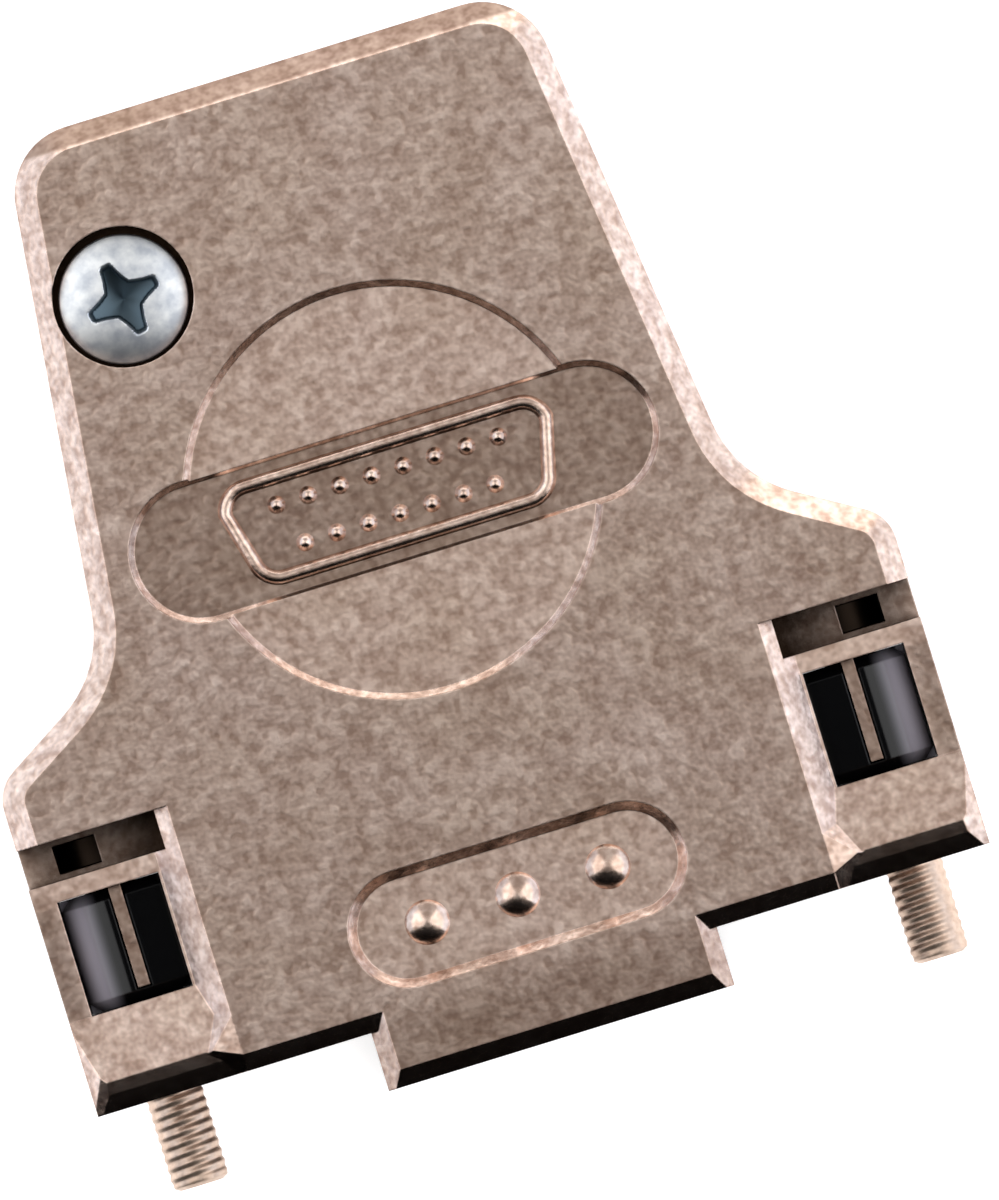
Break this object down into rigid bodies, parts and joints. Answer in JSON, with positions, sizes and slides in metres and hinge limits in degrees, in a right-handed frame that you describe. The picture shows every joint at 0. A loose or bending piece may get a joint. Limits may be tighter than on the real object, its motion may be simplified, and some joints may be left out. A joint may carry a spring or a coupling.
{
  "type": "d-sub hood",
  "caption": "Die-cast metal hood for a D-sub cable connector: two bolted half shells, captive jackscrews in plastic holders and a cable clamp inside.",
  "frame": {"origin": "midway between the two jackscrews, on the mating face and on the parting plane of the half shells", "axes": "+X across the hood along its wide side, +Y from the mating face towards the cable entry, +Z towards the upper shell's face"},
  "size_m": [0.04, 0.0451, 0.0164],
  "materials": {
    "nickel_plated_zinc": "satin",
    "zinc_plated_steel": "satin",
    "nickel_plated_steel": "satin",
    "black_plastic": "gloss",
    "clamp_steel": "satin"
  },
  "bodies": {
    "hood": {"top_shell": "nickel_plated_zinc", "bottom_shell": "nickel_plated_zinc", "top_closing_screw": "zinc_plated_steel", "bottom_closing_screw": "zinc_plated_steel", "right_screw_holder": "black_plastic", "left_screw_holder": "black_plastic", "upper_clamp_saddle": "clamp_steel", "lower_clamp_saddle": "clamp_steel", "right_clamp_screw": "zinc_plated_steel", "left_clamp_screw": "zinc_plated_steel", "right_clamp_nut": "zinc_plated_steel", "left_clamp_nut": "zinc_plated_steel"},
    "right_jackscrew": {"right_jackscrew": "nickel_plated_steel"},
    "left_jackscrew": {"left_jackscrew": "nickel_plated_steel"}
  },
  "joints": [
    {"name": "right_jackscrew_spin", "type": "hinge", "parent": "hood", "child": "right_jackscrew", "pos_m": [0.01665, 0, 0], "axis": [0, 1, 0], "continuous": true},
    {"name": "left_jackscrew_spin", "type": "hinge", "parent": "hood", "child": "left_jackscrew", "pos_m": [-0.01665, 0, 0], "axis": [0, 1, 0], "continuous": true}
  ]
}
